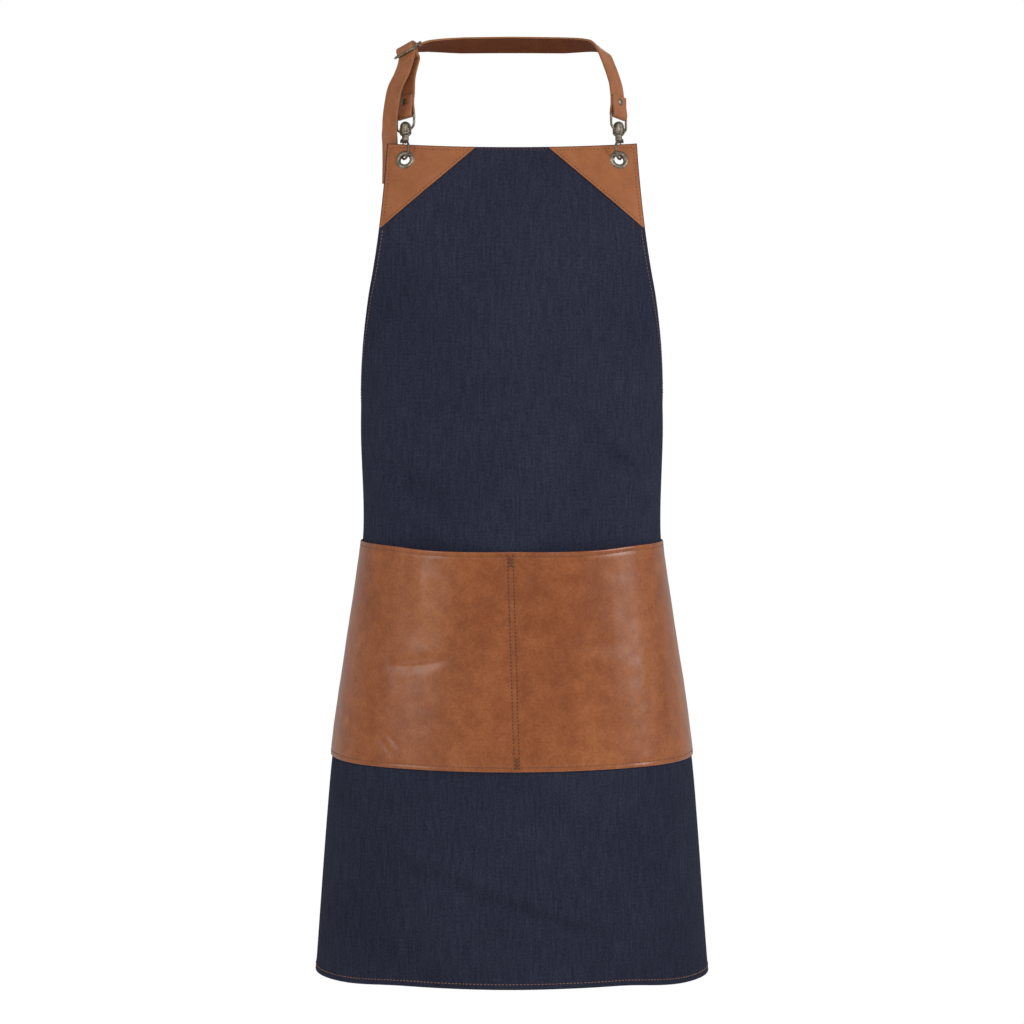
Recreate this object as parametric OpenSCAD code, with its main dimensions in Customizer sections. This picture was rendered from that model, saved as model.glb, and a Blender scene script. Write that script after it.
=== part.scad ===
// Bib apron: a wrapped denim body with a leather pocket panel, hung from a leather neck strap by two swivel
// snap hooks, and closed behind the waist by a second strap on two more hooks. Millimetres, +Z up, front -Y.
// The origin is the middle of the neck strap's inner face, where the apron hangs.

/* [Cloth] */
// Length of the denim from the bib's top edge to the hem
apron_len = 860; // [830:1:890]
// Flat width of the denim below the waist
full_w = 600; // [590:1:610]
// Flat width of the bib's top edge
bib_w = 259; // [256:1:262]
// Distance down the front at which the side edge reaches the full width
waist_t = 370; // [360:1:380]
// Thickness of the denim
denim_t = 1; // [0.8:0.1:1.2]
// Drop from the hanging point to the bib's top edge
bib_drop = 107; // [100:1:115]
// How far the hooks lift the bib's corners
corner_lift = 4; // [0:1:6]

/* [Pocket panel] */
// Distance down the front to the pockets' mouths
pocket_top = 409; // [405:1:415]
// Height of the leather panel
pocket_h = 226; // [215:1:235]
// Thickness of the panel's leather
pocket_t = 1.6; // [1.2:0.1:2]
// How far each pocket's mouth stands open
pocket_gape = 9; // [7:1:10]

/* [Corner patches] */
// Length of a patch along the bib's top edge
patch_w = 92; // [84:1:96]
// Length of a patch down the bib's side
patch_h = 84; // [78:1:90]
// Thickness of a patch
patch_t = 1.2; // [1:0.1:1.4]

/* [Eyelets] */
// Bore of an eyelet
eyelet_bore = 10; // [9.6:0.1:10.4]
// Outer diameter of an eyelet's flange
eyelet_d = 19.5; // [18.5:0.5:20]
// Distance from an eyelet's centre to the cloth's edge beside its hook
eyelet_edge = 15.5; // [15:0.5:16]
// Distance from a bib eyelet's centre to the bib's side edge
eyelet_side = 20.5; // [19:0.5:21]

/* [Straps] */
// Width of the leather straps
strap_w = 20; // [19:0.5:21]
// Thickness of the leather straps
strap_t = 2.5; // [2.3:0.1:2.6]
// Length of a strap's riveted fold
fold_l = 20; // [19:1:22]

/* [Snap hooks] */
// Wire diameter of hooks, loops and buckles
wire_d = 2.5; // [2.4:0.1:2.6]
// Width across the hook's wire centre lines
hook_w = 18; // [17.6:0.1:18.2]
// Distance from the strap loop's bar to the bottom of the hook
hook_reach = 47; // [46:0.5:48]
// Lean of the bib hooks from the vertical, towards the wearer's neck
hook_lean = 18; // [16:1:20]
// Turn of the right bib hook's plane from the cloth's normal
right_hook_turn = 33; // [30:1:36]
// Turn of the left bib hook's plane from the cloth's normal
left_hook_turn = 36; // [34:1:38]
// Turn of the right strap fold about the vertical
right_fold_turn = 50; // [45:1:55]
// Turn of the left strap fold about the vertical
left_fold_turn = 42; // [38:1:46]

/* [Hidden] */
$fn = 48;

denim_colour = [0.13, 0.14, 0.20];
leather_colour = [0.55, 0.33, 0.21];
strap_colour = [0.50, 0.29, 0.18];
metal_colour = [0.55, 0.53, 0.44];

// ---- vectors ----
function unit(v) = v / norm(v);
function across(v, n) = unit(v - (v * n) * n);
function frame(x, y, z, o) = [for (i = [0:2]) [x[i], y[i], z[i], o[i]]];
module at(x, y, z, o) { multmatrix(concat(frame(x, y, z, o), [[0, 0, 0, 1]])) children(); }
module side_of(side) { mirror([side < 0 ? 1 : 0, 0, 0]) children(); }

// ---- the worn shape of the cloth ----
// Each row is a level: distance down the front, half width at the widest, depth of the widest behind the
// front line, and the front line's y.
LEVELS = [
    [0, 240, 74, -97], [60, 215, 76, -122], [140, 170, 86, -142], [205, 157, 91, -148],
    [300, 156, 92, -148], [395, 154, 92, -145], [450, 161, 102, -147], [620, 187, 127, -154],
    [860, 207, 122, -158]
];
function level_above(t, i = 0) = i >= len(LEVELS) - 2 || t < LEVELS[i + 1][0] ? i : level_above(t, i + 1);
function slope(i, c) =
    let (a = max(i - 1, 0), b = min(i + 1, len(LEVELS) - 1))
    (LEVELS[b][c] - LEVELS[a][c]) / (LEVELS[b][0] - LEVELS[a][0]);
function level(t, c) =
    let (i = level_above(t), d = LEVELS[i + 1][0] - LEVELS[i][0], u = (t - LEVELS[i][0]) / d)
    LEVELS[i][c] * (1 + 2 * u) * pow(1 - u, 2) + slope(i, c) * d * u * pow(1 - u, 2)
    + LEVELS[i + 1][c] * u * u * (3 - 2 * u) + slope(i + 1, c) * d * u * u * (u - 1);

// A section is a wide arc over the front that turns into a tighter arc round each side.
front_turn = 30;
front_c = cos(front_turn);
function side_r(t) = (level(t, 2) - 2 * level(t, 1) * (1 - front_c)) / (2 * front_c - 1);
function front_r(t) = 2 * level(t, 1) - side_r(t);
function turn_at(s, t) =
    let (r1 = front_r(t), s1 = r1 * front_turn * PI / 180)
    s < s1 ? s / r1 * 180 / PI : front_turn + (s - s1) / side_r(t) * 180 / PI;
function lift(s, t) = t < 150 ? corner_lift * pow(2 * s / bib_w, 2) * pow(1 - t / 150, 2) : 0;
function outward(s, t) = let (f = turn_at(abs(s), t)) [sign(s) * sin(f), -cos(f), 0];
function along(s, t) = let (f = turn_at(abs(s), t)) [cos(f), sign(s) * sin(f), 0];
function cloth(s, t, off = 0) =
    let (u = abs(s), f = turn_at(u, t), r1 = front_r(t), r2 = side_r(t),
         in_front = f < front_turn,
         x = in_front ? r1 * sin(f) : r1 * sin(front_turn) + r2 * (sin(f) - sin(front_turn)),
         y = in_front ? r1 * (1 - cos(f)) : r1 * (1 - front_c) + r2 * (front_c - cos(f)))
    [sign(s) * x, level(t, 3) + y, lift(u, t) - bib_drop - t] + off * outward(s, t);

// Half the cloth's flat width: nearly straight beside the bib, then the armhole's curve to the waist.
bib_flare = 0.075;
arm_power = 2.6;
function half_w(t) =
    let (u = min(t, waist_t), rest = (full_w - bib_w) / 2 - bib_flare * waist_t)
    bib_w / 2 + bib_flare * u + rest * pow(u / waist_t, arm_power);

// ---- closed sheets ----
// rows is a grid of [outer point, inner point] pairs; the solid is closed round all four edges.
module sheet(rows) {
    m = len(rows);
    n = len(rows[0]);
    pts = [for (k = [0, 1]) for (r = rows) for (p = r) p[k]];
    function id(k, j, i) = k * m * n + j * n + i;
    outer = [for (j = [0:m - 2]) for (i = [0:n - 2]) for (f = [
        [id(0, j, i), id(0, j, i + 1), id(0, j + 1, i + 1)],
        [id(0, j, i), id(0, j + 1, i + 1), id(0, j + 1, i)]]) f];
    inner = [for (j = [0:m - 2]) for (i = [0:n - 2]) for (f = [
        [id(1, j, i), id(1, j + 1, i + 1), id(1, j, i + 1)],
        [id(1, j, i), id(1, j + 1, i), id(1, j + 1, i + 1)]]) f];
    ends = [for (i = [0:n - 2]) for (f = [
        [id(0, 0, i), id(1, 0, i), id(1, 0, i + 1)], [id(0, 0, i), id(1, 0, i + 1), id(0, 0, i + 1)],
        [id(0, m - 1, i), id(1, m - 1, i + 1), id(1, m - 1, i)],
        [id(0, m - 1, i), id(0, m - 1, i + 1), id(1, m - 1, i + 1)]]) f];
    sides = [for (j = [0:m - 2]) for (f = [
        [id(0, j, 0), id(1, j + 1, 0), id(1, j, 0)], [id(0, j, 0), id(0, j + 1, 0), id(1, j + 1, 0)],
        [id(0, j, n - 1), id(1, j, n - 1), id(1, j + 1, n - 1)],
        [id(0, j, n - 1), id(1, j + 1, n - 1), id(0, j + 1, n - 1)]]) f];
    polyhedron(pts, concat(outer, inner, ends, sides));
}

// ---- where the eyelets sit in the cloth ----
bib_s = bib_w / 2 + bib_flare * eyelet_edge - eyelet_side;
bib_t = eyelet_edge + 0.4;
waist_s = full_w / 2 - eyelet_edge;
waist_eyelet_t = waist_t + 18;

// ---- denim ----
// Columns are evenly spread up to the flat facet that each eyelet sits in, which reaches facet each side of it.
facet = 10;
inner_cols = 14;
function from_edge(t, k) =
    let (u = min(max((t - bib_t - facet) / (waist_eyelet_t - bib_t - 2 * facet), 0), 1))
    mix(eyelet_side, eyelet_edge, u) + k * facet;
function half_cols(t) = concat(
    [for (i = [1:inner_cols]) (half_w(t) - from_edge(t, 1)) * i / inner_cols],
    [half_w(t) - from_edge(t, -1), half_w(t)]);
function cols(t) = let (h = half_cols(t)) concat([for (i = [len(h) - 1:-1:0]) -h[i]], [0], h);

pocket_rows = 8;
bib_rows = 9;
skirt_rows = 7;
pocket_foot = pocket_top + pocket_h;
POCKET_ROWS = [for (j = [0:pocket_rows]) pocket_top + pocket_h * j / pocket_rows];
DENIM_ROWS = concat(
    [0], [for (k = [-1:2:7]) bib_t + k * facet],
    [for (k = [1:bib_rows - 1]) mix(bib_t + 7 * facet, waist_eyelet_t - facet, k / bib_rows)],
    [waist_eyelet_t - facet, waist_eyelet_t + facet], POCKET_ROWS,
    [for (k = [1:skirt_rows]) mix(pocket_foot, apron_len, k / skirt_rows)]);
module denim_panel() color(denim_colour) difference() {
    sheet([for (t = DENIM_ROWS) [for (s = cols(t)) [cloth(s, t, denim_t / 2), cloth(s, t, -denim_t / 2)]]]);
    for (side = [-1, 1]) {
        eyelet_hole(side, true);
        eyelet_hole(side, false);
    }
}

// ---- leather ----
// The pocket panel lies on the denim and stands off it at the two mouths. It is sewn down at the centre, the
// sides and the bottom.
gape_at = 60;
pocket_gap = 0.45;
function gape(s, v) = pocket_gape * pow(abs(s) / gape_at * exp(1 - abs(s) / gape_at), 3) * pow(1 - v, 2);
module pocket_panel() color(leather_colour) {
    sheet([for (t = POCKET_ROWS)
        [for (s = cols(t)) let (off = denim_t / 2 + pocket_gap + gape(s, (t - pocket_top) / pocket_h))
            [cloth(s, t, off + pocket_t), cloth(s, t, off)]]]);
}

patch_inset = 1;
patch_cols = 8;
patch_rows = 8;
patch_end = 0.97;
patch_gap = 0.3;
patch_base = denim_t / 2 + patch_gap;
module corner_patch(side) color(leather_colour) side_of(side) difference() {
    sheet([for (j = [0:patch_rows]) let (t = patch_h * patch_end * j / patch_rows + patch_inset / 2,
                                         w = patch_w * (1 - t / patch_h))
        [for (i = [0:patch_cols]) let (s = half_w(t) - patch_inset - w * (1 - i / patch_cols))
            [cloth(s, t, patch_base + patch_t), cloth(s, t, patch_base)]]]);
    eyelet_hole(1, true);
}

// ---- eyelets ----
// A bib eyelet goes through denim and patch, a waist eyelet through denim alone.
wire_drop = 1.6;
barrel_wall = 0.8;
flange_h = 1;
washer_h = 0.7;
bib_gap = 0.2;
front_bib = patch_base + patch_t + bib_gap;
front_waist = denim_t / 2 + 0.3;
back_bib = -denim_t / 2 - 0.35;
back_waist = -denim_t / 2 - 0.85;
function eyelet_s(bib) = bib ? bib_s : waist_s;
function eyelet_t(bib) = bib ? bib_t : waist_eyelet_t;
function eyelet_c(bib) = let (s = eyelet_s(bib), t = eyelet_t(bib))
    (cloth(s - facet, t - facet) + cloth(s + facet, t - facet) + cloth(s - facet, t + facet)
     + cloth(s + facet, t + facet)) / 4;
function facing(bib) = let (s = eyelet_s(bib), t = eyelet_t(bib))
    unit(cross(cloth(s, t + facet) - cloth(s, t - facet), cloth(s + facet, t) - cloth(s - facet, t)));
module at_eyelet(side, bib) {
    z = -facing(bib);
    x = across(along(eyelet_s(bib), eyelet_t(bib)), z);
    side_of(side) at(x, cross(z, x), z, eyelet_c(bib)) children();
}
module eyelet_hole(side, bib) at_eyelet(side, bib)
    translate([0, 0, -10]) cylinder(d = eyelet_bore + 2 * barrel_wall + 0.6, h = 20);
module flange(h) {
    half = (eyelet_d - eyelet_bore) / 4;
    r = (half * half + h * h) / (2 * h);
    rotate_extrude() intersection() {
        translate([eyelet_bore / 2 + half, h - r]) circle(r = r, $fn = 96);
        translate([eyelet_bore / 2, 0]) square([2 * half, h + 1]);
    }
}
module ring(r, wall, h) difference() {
    cylinder(r = r + wall, h = h);
    translate([0, 0, -1]) cylinder(r = r, h = h + 2);
}
module eyelet(side, bib) color(metal_colour) at_eyelet(side, bib) {
    front = bib ? front_bib : front_waist;
    back = bib ? back_bib : back_waist;
    translate([0, 0, -front]) rotate([180, 0, 0]) flange(flange_h);
    translate([0, 0, -front]) ring(eyelet_bore / 2, barrel_wall, front - back + 0.3);
}
module eyelet_washer(side, bib) color(metal_colour) at_eyelet(side, bib) {
    back = bib ? back_bib : back_waist;
    translate([0, 0, -back]) difference() {
        flange(washer_h);
        translate([0, 0, -1]) cylinder(r = eyelet_bore / 2 + barrel_wall + 0.05, h = 3);
    }
}

// ---- snap hooks ----
// Local frame: the strap loop's bar is at the origin, the hook hangs down -Z, its spine is on +X and its gate
// on -X. The bar lies along the local Y of the eye.
wire_r = wire_d / 2;
loop_half = strap_w / 2 + 0.6 + wire_r;
loop_low = -16.5;
loop_bend = 6;
loop_top_bend = 2.5;
collar_top = -15;
collar_h = 4.8;
collar_r = 6.2;
post_r = 2.5;
post_gap = 0.05;
head_top = -7.4;
head_r = 5.6;
neck_r = 3.5;
ring_r = hook_w / 2;
ring_low = ring_r - hook_reach;
neck_low = ring_low + ring_r + 0.2;
pin_r = 0.8;
pin_x = -5.4;
pin_z = neck_low + 2;
lug_r = 2;
gate_half = 1.05;
knuckle_r = 1.5;
gate_arm_r = 0.95;
lug_out = 2.9;
lug_in = 1.9;
tip_turn = 14;

module rod(r, h) cylinder(r = r, h = h);
module bend(r, from, to) rotate([90, 0, 0]) rotate([0, 0, from])
    rotate_extrude(angle = to - from) translate([r, 0]) circle(r = wire_r, $fn = 32);

module eye_half() {
    rotate([-90, 0, 0]) rod(wire_r, loop_half - loop_top_bend);
    translate([0, loop_half - loop_top_bend, -loop_top_bend]) rotate([0, 0, 90]) bend(loop_top_bend, 0, 90);
    translate([0, loop_half, loop_low + loop_bend]) rod(wire_r, -loop_low - loop_bend - loop_top_bend);
    translate([0, loop_half - loop_bend, loop_low + loop_bend]) rotate([0, 0, 90]) bend(loop_bend, -90, 0);
    translate([0, collar_r - 1, loop_low]) rotate([-90, 0, 0])
        rod(wire_r, loop_half - loop_bend - collar_r + 1);
}
module eye_shape() color(metal_colour) {
    for (k = [0, 1]) mirror([0, k, 0]) eye_half();
    translate([0, 0, collar_top - collar_h]) ring(post_r + post_gap, collar_r - post_r - post_gap, collar_h);
}

module hook_shape() color(metal_colour) {
    translate([0, 0, collar_top + 0.1]) rotate_extrude() intersection() {
        union() {
            square([head_r, 3]);
            translate([0, 2.2]) circle(r = head_r, $fn = 64);
        }
        square([head_r, head_top - collar_top]);
    }
    translate([0, 0, collar_top - collar_h - 0.2]) rod(post_r, collar_h + 0.4);
    translate([0, 0, neck_low]) rotate_extrude() polygon([
        [0, 0], [2.2, 0], [neck_r, 1.2], [neck_r, 6.4], [collar_r - 0.8, 7.6],
        [collar_r - 0.8, collar_top - collar_h - 0.1 - neck_low],
        [0, collar_top - collar_h - 0.1 - neck_low]]);
    translate([0, 0, ring_low]) bend(ring_r, -180 + tip_turn, 95);
    for (y = [-lug_out, lug_in]) translate([pin_x, y, pin_z]) rotate([-90, 0, 0]) difference() {
        union() {
            rod(lug_r, lug_out - lug_in);
            translate([0, -lug_r, 0]) cube([-pin_x, lug_r, lug_out - lug_in]);
        }
        translate([0, 0, -1]) rod(pin_r, 3);
    }
}

// The gate's arm runs from the pin down to the hook's tip.
tip = [-ring_r * cos(tip_turn), -ring_r * sin(tip_turn) + ring_low];
gate_vec = tip - [pin_x, pin_z];
gate_turn = atan2(gate_vec[0], -gate_vec[1]);
gate_len = norm(gate_vec) - wire_r - 0.5;
module gate_shape() color(metal_colour) translate([pin_x, 0, pin_z]) difference() {
    union() {
        translate([0, -gate_half, 0]) rotate([-90, 0, 0]) rod(knuckle_r, 2 * gate_half);
        rotate([0, -gate_turn, 0]) translate([0, 0, -gate_len]) rod(gate_arm_r, gate_len);
    }
    translate([0, -5, 0]) rotate([-90, 0, 0]) rod(pin_r + 0.05, 10);
}
module gate_pin_shape() color(metal_colour) translate([pin_x, -lug_out - 0.3, pin_z]) rotate([-90, 0, 0])
    rod(pin_r, 2 * lug_out + 0.6);
coil_r = 0.22;
module gate_spring_shape() color(metal_colour) translate([pin_x, 0, pin_z]) rotate([-90, 0, 0])
    for (z = [-1.6, -1.35, 1.35, 1.6]) translate([0, 0, z])
        rotate_extrude() translate([pin_r + 0.15 + coil_r, 0]) circle(r = coil_r * 0.6, $fn = 16);

// Places each hook. A bib hook leans back in line with the bib; a waist hook reaches out along the strap.
function layer_mid(bib) = bib ? (front_bib + back_bib) / 2 : (front_waist + back_waist) / 2;
waist_slant = 12;
function down_dir(bib) =
    bib ? [0, -sin(hook_lean), -cos(hook_lean)] : [cos(waist_slant), 0, sin(waist_slant)];
function seat(bib) = eyelet_c(bib) + layer_mid(bib) * facing(bib) - wire_drop * down_dir(bib);
function bar_at(bib) = seat(bib) - hook_reach * down_dir(bib);
function hook_turn(side, bib) = !bib ? 0 : side > 0 ? right_hook_turn : left_hook_turn;
function fold_turn(side) = side > 0 ? right_fold_turn : left_fold_turn;
module at_hook(side, bib) {
    z = -down_dir(bib);
    x = across(facing(bib), z);
    side_of(side) at(x, cross(z, x), z, bar_at(bib)) rotate([0, 0, bib ? -hook_turn(side, bib) : 0])
        children();
}
function bar_dir(side, bib) =
    across(bib ? [cos(fold_turn(side)), sin(fold_turn(side)), 0] : [0, 0, 1], down_dir(bib));
module at_bar(side, bib) {
    z = -down_dir(bib);
    y = bar_dir(side, bib);
    side_of(side) at(cross(y, z), y, z, bar_at(bib)) children();
}
module snap(part, side, bib) {
    if (part == "eye") at_bar(side, bib) eye_shape();
    if (part == "hook") at_hook(side, bib) hook_shape();
    if (part == "gate") at_hook(side, bib) gate_shape();
    if (part == "gate_pin") at_hook(side, bib) gate_pin_shape();
    if (part == "gate_spring") at_hook(side, bib) gate_spring_shape();
}

// ---- straps ----
// A strap is swept through stations [point, width direction].
function tangent(path, i) = unit(path[min(i + 1, len(path) - 1)][0] - path[max(i - 1, 0)][0]);
module strap(path) color(strap_colour) sheet([for (i = [0:len(path) - 1])
    let (t = tangent(path, i), w = across(path[i][1], t), n = cross(w, t), c = path[i][0])
    [for (k = [-1, 1]) [c + k * w * strap_w / 2 + n * strap_t / 2, c + k * w * strap_w / 2 - n * strap_t / 2]]]);

function mix(a, b, u) = a * (1 - u) + b * u;
function bez(p, u) = mix(mix(mix(p[0], p[1], u), mix(p[1], p[2], u), u),
                         mix(mix(p[1], p[2], u), mix(p[2], p[3], u), u), u);
// A smooth run through stations, as a spline whose tangents come from the neighbours.
function run(st, steps = 2) = [for (i = [0:len(st) - 2]) let (
        a = st[max(i - 1, 0)], b = st[i], c = st[i + 1], d = st[min(i + 2, len(st) - 1)],
        reach = norm(c[0] - b[0]) / 3)
    for (k = [0:steps - 1]) let (u = k / steps) [
        bez([b[0], b[0] + reach * unit(c[0] - a[0]), c[0] - reach * unit(d[0] - b[0]), c[0]], u),
        mix(b[1], c[1], u)]];

// The fold round a bar: from the flap's end, under the bar, and up the main strap. n points to the flap.
bar_gap = 0.15;
fold_r = wire_r + bar_gap + strap_t / 2;
layer_half = strap_t / 2 + 0.15;
fold_steps = 8;
function fold(c, w, up, n) = concat(
    [for (h = [fold_l, fold_l * 0.75, fold_l * 0.5]) [c + n * layer_half + up * h, w]],
    [[c + n * mix(layer_half, fold_r, 0.75) + up * fold_l * 0.2, w]],
    [for (k = [0:fold_steps]) let (a = 180 * k / fold_steps) [c + n * fold_r * cos(a) - up * fold_r * sin(a), w]],
    [[c - n * mix(layer_half, fold_r, 0.75) + up * fold_l * 0.2, w]],
    [for (h = [fold_l * 0.5, fold_l * 0.75, fold_l]) [c - n * layer_half + up * h, w]]);
function backward(list) = [for (i = [len(list) - 1:-1:0]) list[i]];

function mirrored(v) = [-v[0], v[1], v[2]];
function put(side, v) = side < 0 ? mirrored(v) : v;
function bar_c(side, bib) = put(side, bar_at(bib));
function bar_w(side, bib) = put(side, bar_dir(side, bib));
function fold_up(side, bib) = put(side, -down_dir(bib));
function fold_n(side, bib) = put(side, cross(bar_dir(side, bib), -down_dir(bib)));
function flap_in(side, bib) = fold(bar_c(side, bib), bar_w(side, bib), fold_up(side, bib), fold_n(side, bib));

// The slide buckle: bars across the strap at the rear, the centre and the front. Its own frame has X along the
// bars, Y forward along the strap and Z out of the strap's face.
buckle_at = [-107.6, -58, -7.5];
buckle_x = unit([-0.80, 0.40, -0.42]);
buckle_y = across([-0.29, -0.90, -0.32], buckle_x);
buckle_z = cross(buckle_x, buckle_y);
buckle_rear = -12;
buckle_front = 9.4;
buckle_down = unit([0.45, -0.89]);
function in_buckle(y, z) = buckle_at + y * buckle_y + z * buckle_z;
module neck_buckle() color(metal_colour) at(buckle_x, buckle_y, buckle_z, buckle_at) {
    for (y = [buckle_rear, 0, buckle_front])
        translate([-loop_half, y, 0]) rotate([0, 90, 0]) rod(wire_r, 2 * loop_half);
    for (x = [-loop_half, loop_half]) {
        translate([x, buckle_rear, 0]) rotate([-90, 0, 0]) rod(wire_r, buckle_front - buckle_rear);
        for (y = [buckle_rear, buckle_front]) translate([x, y, 0]) sphere(r = wire_r, $fn = 24);
    }
}

over_r = fold_r + strap_t + 0.2;
over_x = buckle_down[1] * -over_r;
over_z = buckle_down[0] * over_r;
TAIL = [
    [[-112.5, -76, -31], [-0.80, 0.55, -0.20]], [[-119.5, -80, -46], [-0.74, 0.67, -0.05]],
    [[-123, -81, -62], [-0.72, 0.69, 0]], [[-125, -80.5, -78], [-0.72, 0.69, 0]],
    [[-125.4, -78.5, -91], [-0.72, 0.69, 0]], [[-125.5, -71.5, -104], [-0.74, 0.67, 0]],
    [[-125, -69, -122], [-0.80, 0.60, 0]], [[-125, -69, -144], [-0.84, 0.54, 0]]
];
BACK = [
    [[106, -67, -41], [0.64, 0.75, -0.16]], [[99, -59, -20], [0.67, 0.69, -0.27]],
    [[93, -49, -7], [0.74, 0.50, -0.46]], [[82, -28, -1], [0.40, 0.75, -0.54]],
    [[52, -8, 0], [0.12, 0.64, -0.76]], [[0, 0.98, 0.78], [0, 0.62, -0.78]],
    [[-52, -7, 0], [-0.12, 0.64, -0.76]], [[-84, -24, -1], [-0.40, 0.75, -0.54]]
];
module neck_strap_long() strap(concat(
    run(concat(flap_in(1, true), BACK, [
            [in_buckle(-20, -3.2), buckle_x], [in_buckle(buckle_rear, -wire_r - strap_t / 2 - 0.3), buckle_x],
            [in_buckle(-7.8, 0), buckle_x], [in_buckle(-4, over_r * 0.8), buckle_x],
            [in_buckle(0, over_r * 1.02), buckle_x], [in_buckle(over_x * 0.75, over_z + 1.6), buckle_x],
            [in_buckle(over_x, over_z), buckle_x],
            [in_buckle(over_x + 7 * buckle_down[0], over_z + 7 * buckle_down[1]), buckle_x]],
            TAIL)), [TAIL[len(TAIL) - 1]]));

buckle_fold_up = buckle_down[0] * buckle_y + buckle_down[1] * buckle_z;
module neck_strap_short() strap(run(concat(
    fold(buckle_at, buckle_x, buckle_fold_up, cross(buckle_x, buckle_fold_up)),
    [[[-107, -71, -36], [-0.78, 0.60, -0.12]]],
    backward(flap_in(-1, true)))));

waist_dip = 7;
module waist_strap() {
    mid = (bar_c(1, false) + bar_c(-1, false)) / 2;
    strap(run(concat(
        flap_in(1, false),
        [[mid - [0, 0, waist_dip], [0, 0, 1]]],
        backward(flap_in(-1, false)))));
}

// ---- rivets ----
rivet_up = 13.5;
rivet_r = 1.25;
module at_rivet(side, bib) {
    up = -down_dir(bib);
    w = bar_dir(side, bib);
    side_of(side) at(cross(up, cross(w, up)), up, cross(w, up), bar_at(bib) + up * rivet_up) children();
}
module cap(r, h) intersection() {
    translate([0, 0, h - r * 1.6]) sphere(r = r * 1.6, $fn = 64);
    rod(r, h);
}
rivet_face = strap_t + 0.35;
module rivet_caps(bib, sides) color(metal_colour) for (side = sides) at_rivet(side, bib) {
    translate([0, 0, rivet_face]) cap(3.8, 1.3);
    translate([0, 0, -rivet_face]) rod(rivet_r, 2 * rivet_face);
}
module rivet_backs(bib, sides) color(metal_colour) for (side = sides) at_rivet(side, bib)
    translate([0, 0, -rivet_face - 0.9]) rod(3.4, 0.9);

denim_panel();
pocket_panel();
corner_patch(1);  // right_corner_patch
corner_patch(-1);  // left_corner_patch
neck_strap_long();
neck_strap_short();
neck_buckle();
rivet_caps(true, [-1, 1]);  // neck_rivet_caps
rivet_backs(true, [-1, 1]);  // neck_rivet_backs
waist_strap();
rivet_caps(false, [-1, 1]);  // waist_rivet_caps
rivet_backs(false, [-1, 1]);  // waist_rivet_backs
for (side = [-1, 1]) for (bib = [false, true]) {
    place = str(side < 0 ? "left" : "right", bib ? "_bib_" : "_waist_");
    eyelet(side, bib);
    eyelet_washer(side, bib);
    for (part = ["eye", "hook", "gate", "gate_pin", "gate_spring"])
        snap(part, side, bib);
}
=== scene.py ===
import math

import bpy
import numpy as np
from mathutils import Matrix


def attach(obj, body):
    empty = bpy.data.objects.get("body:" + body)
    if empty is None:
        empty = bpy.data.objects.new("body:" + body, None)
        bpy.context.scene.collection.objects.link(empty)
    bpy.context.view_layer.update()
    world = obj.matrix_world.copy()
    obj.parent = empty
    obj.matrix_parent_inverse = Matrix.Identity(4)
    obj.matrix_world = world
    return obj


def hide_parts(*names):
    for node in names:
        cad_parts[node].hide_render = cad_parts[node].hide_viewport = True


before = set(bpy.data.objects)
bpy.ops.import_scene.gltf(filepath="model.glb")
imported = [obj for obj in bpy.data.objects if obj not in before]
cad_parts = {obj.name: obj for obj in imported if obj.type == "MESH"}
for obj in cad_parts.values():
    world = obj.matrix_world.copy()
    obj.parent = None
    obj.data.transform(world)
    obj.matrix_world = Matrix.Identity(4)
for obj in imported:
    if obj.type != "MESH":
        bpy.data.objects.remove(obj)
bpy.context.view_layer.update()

MM = 0.001

# ---------------------------------------------------------------- the worn shape, in millimetres
APRON_LEN, FULL_W, BIB_W, WAIST_T = 860.0, 600.0, 259.0, 370.0
DENIM_T, BIB_DROP, CORNER_LIFT, LIFT_END = 1.0, 107.0, 4.0, 150.0
POCKET_TOP, POCKET_H, POCKET_T, POCKET_GAPE, GAPE_AT = 409.0, 226.0, 1.6, 9.0, 60.0
PATCH_W, PATCH_H, PATCH_T = 92.0, 84.0, 1.2
POCKET_FOOT, POCKET_BASE, PATCH_BASE = POCKET_TOP + POCKET_H, 0.95, 0.8
LEVELS = np.array([
    (0, 240, 74, -97), (60, 215, 76, -122), (140, 170, 86, -142), (205, 157, 91, -148), (300, 156, 92, -148),
    (395, 154, 92, -145), (450, 161, 102, -147), (620, 187, 127, -154), (860, 207, 122, -158)], float)
FRONT_TURN = math.radians(30)
FRONT_C, FRONT_S = math.cos(FRONT_TURN), math.sin(FRONT_TURN)
FLARE, ARM_POWER = 0.075, 2.6


def level(t, c):
    """Column c of LEVELS at a height t down the cloth, on a smooth curve through its rows."""
    n = len(LEVELS)
    k = np.arange(n)
    a, b = np.maximum(k - 1, 0), np.minimum(k + 1, n - 1)
    slope = (LEVELS[b, c] - LEVELS[a, c]) / (LEVELS[b, 0] - LEVELS[a, 0])
    i = np.clip(np.searchsorted(LEVELS[:, 0], t, side="right") - 1, 0, n - 2)
    d = LEVELS[i + 1, 0] - LEVELS[i, 0]
    u = (t - LEVELS[i, 0]) / d
    return (LEVELS[i, c] * (1 + 2 * u) * (1 - u) ** 2 + slope[i] * d * u * (1 - u) ** 2
            + LEVELS[i + 1, c] * u * u * (3 - 2 * u) + slope[i + 1] * d * u * u * (u - 1))


def turn(s, t):
    """(angle of the cloth's outward direction from the front, front radius, side radius)"""
    a, b = level(t, 1), level(t, 2)
    r2 = (b - 2 * a * (1 - FRONT_C)) / (2 * FRONT_C - 1)
    r1 = 2 * a - r2
    u, s1 = np.abs(s), r1 * FRONT_TURN
    return np.where(u < s1, u / r1, FRONT_TURN + (u - s1) / r2), r1, r2


def outward(s, t):
    """The direction that the cloth's front faces."""
    f, _, _ = turn(s, t)
    return np.stack([np.sign(s) * np.sin(f), -np.cos(f), 0 * f], -1)


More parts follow.
